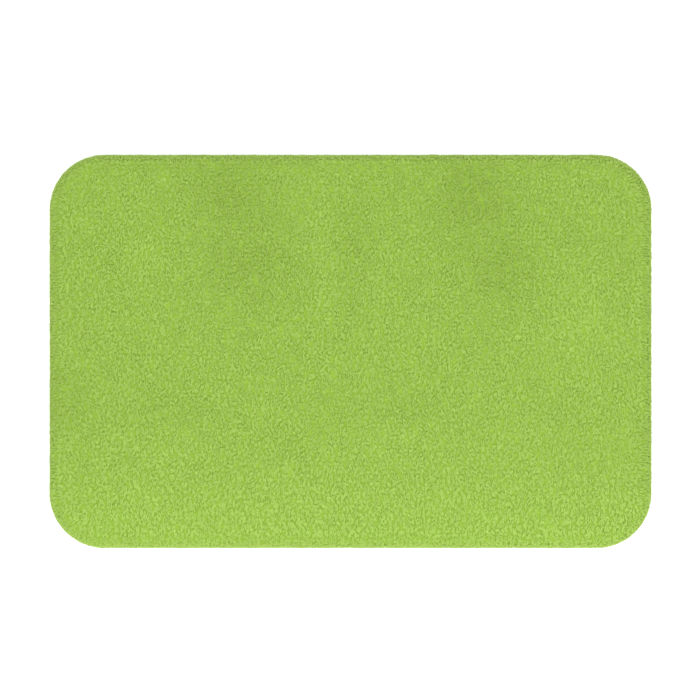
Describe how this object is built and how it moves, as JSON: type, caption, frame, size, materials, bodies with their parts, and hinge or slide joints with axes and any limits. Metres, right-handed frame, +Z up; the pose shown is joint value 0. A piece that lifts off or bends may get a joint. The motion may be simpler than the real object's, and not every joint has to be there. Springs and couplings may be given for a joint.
{
  "type": "bath mat",
  "caption": "Oblong bath mat with rounded corners: a deep, soft cut pile tufted through a woven backing, with an overlocked edge and a non-slip coated underside.",
  "frame": {"origin": "on the floor, under the middle of the mat", "axes": "+X along the mat's length, +Y across it towards the edge that has the care label, +Z up out of the pile"},
  "size_m": [0.765, 0.5, 0.018],
  "materials": {
    "pile_yarn": "soft matt green cut pile",
    "edge_yarn": "textured green overlock yarn",
    "needle_thread": "twisted green sewing thread",
    "back_stitch": "matt green tufting yarn",
    "woven_backing": "plain woven flat tape",
    "scrim": "open plain weave",
    "latex": "dried latex, cream",
    "grip_rubber": "sprayed non-slip coat, off-white",
    "label": "white satin ribbon, blank",
    "label_thread": "white sewing thread"
  },
  "bodies": {
    "root": {"grip_coat": "grip_rubber", "scrim_cloth": "scrim", "latex_lock_coat": "latex", "back_stitch_rows": "back_stitch", "primary_backing": "woven_backing", "cut_pile": "pile_yarn", "upper_looper_yarn": "edge_yarn", "lower_looper_yarn": "edge_yarn", "needle_thread": "needle_thread", "care_label": "label", "label_thread": "label_thread"}
  },
  "joints": []
}
